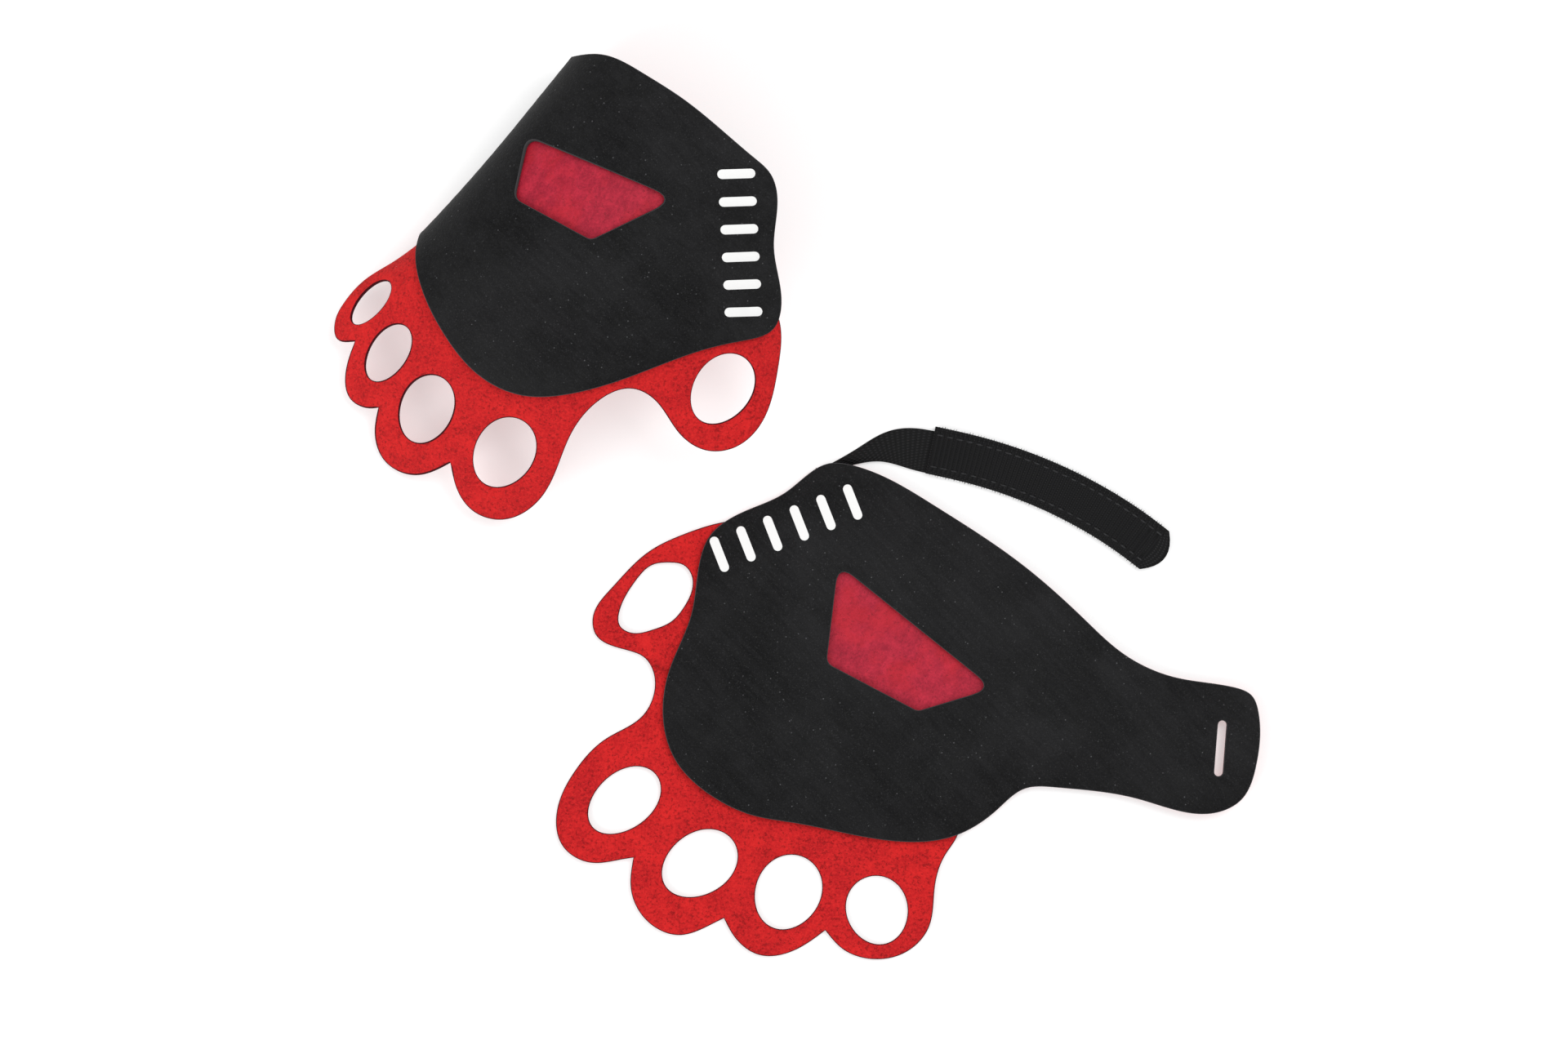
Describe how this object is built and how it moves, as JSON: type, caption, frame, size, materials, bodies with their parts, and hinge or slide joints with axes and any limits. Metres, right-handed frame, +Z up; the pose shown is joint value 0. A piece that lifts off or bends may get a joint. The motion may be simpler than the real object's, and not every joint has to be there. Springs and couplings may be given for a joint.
{
  "type": "pair of climbing hand grips",
  "caption": "Pair of open-finger crack-climbing hand grips: rubber backs on suede with finger and thumb loops, one laid open and flat, one with its wrist cuff closed.",
  "frame": {"origin": "centre of the pair's footprint, on the surface that they lie on", "axes": "+Z up from the table; +X along the pair's longest side, from the closed grip to the open grip's wing"},
  "size_m": [0.298, 0.2902, 0.0467],
  "materials": {
    "rubber": "satin black laminate, faintly brushed",
    "suede": "fine micro-suede, red",
    "film": "crimson heat-bond film",
    "print": "raised white print",
    "webbing": "ribbed black webbing",
    "tape": "woven black tape",
    "hooks": "black hook pile",
    "thread": "black sewing thread"
  },
  "bodies": {
    "right_grip": {"right_rubber_back": "rubber", "right_suede_back": "suede", "right_bond_film_back": "film", "right_print_marks": "print", "right_strap_anchor": "webbing", "right_rubber_wing": "rubber", "right_suede_wing": "suede", "right_bond_film_wing": "film", "right_strap_webbing": "webbing", "right_strap_tape": "tape", "right_strap_hooks": "hooks"},
    "left_back": {"left_rubber_back": "rubber", "left_suede_back": "suede", "left_bond_film_back": "film", "left_print_marks": "print", "left_strap_anchor": "webbing"},
    "left_wing": {"left_rubber_wing": "rubber", "left_suede_wing": "suede", "left_bond_film_wing": "film"},
    "left_thumb": {"left_suede_thumb_loop": "suede"},
    "left_strap": {"left_strap_webbing": "webbing"},
    "left_tail": {"left_strap_tape": "tape", "left_strap_hooks": "hooks", "left_strap_stitching": "thread"}
  },
  "joints": [
    {"name": "left_grip_lift", "type": "slide", "parent": "right_grip", "child": "left_back", "axis": [0, 0, 1], "range_m": [0, 0.12]},
    {"name": "left_wing_wrap", "type": "hinge", "parent": "left_back", "child": "left_wing", "pos_m": [0.07295, -0.0698, 0], "axis": [0.5563, 0.831, 0], "range_deg": [0, 165]},
    {"name": "left_thumb_loop_flex", "type": "hinge", "parent": "left_back", "child": "left_thumb", "pos_m": [-0.02852, -0.0044, 0], "axis": [-0.2164, -0.9763, 0], "range_deg": [0, 90]},
    {"name": "left_strap_wrap", "type": "hinge", "parent": "left_back", "child": "left_strap", "pos_m": [0.01469, 0.01457, 0], "axis": [-0.9929, 0.1192, 0], "range_deg": [0, 95]},
    {"name": "left_tail_fold", "type": "hinge", "parent": "left_strap", "child": "left_tail", "pos_m": [0.04102, 0.01175, 0], "axis": [0.2377, 0.9713, 0], "range_deg": [0, 28]}
  ]
}
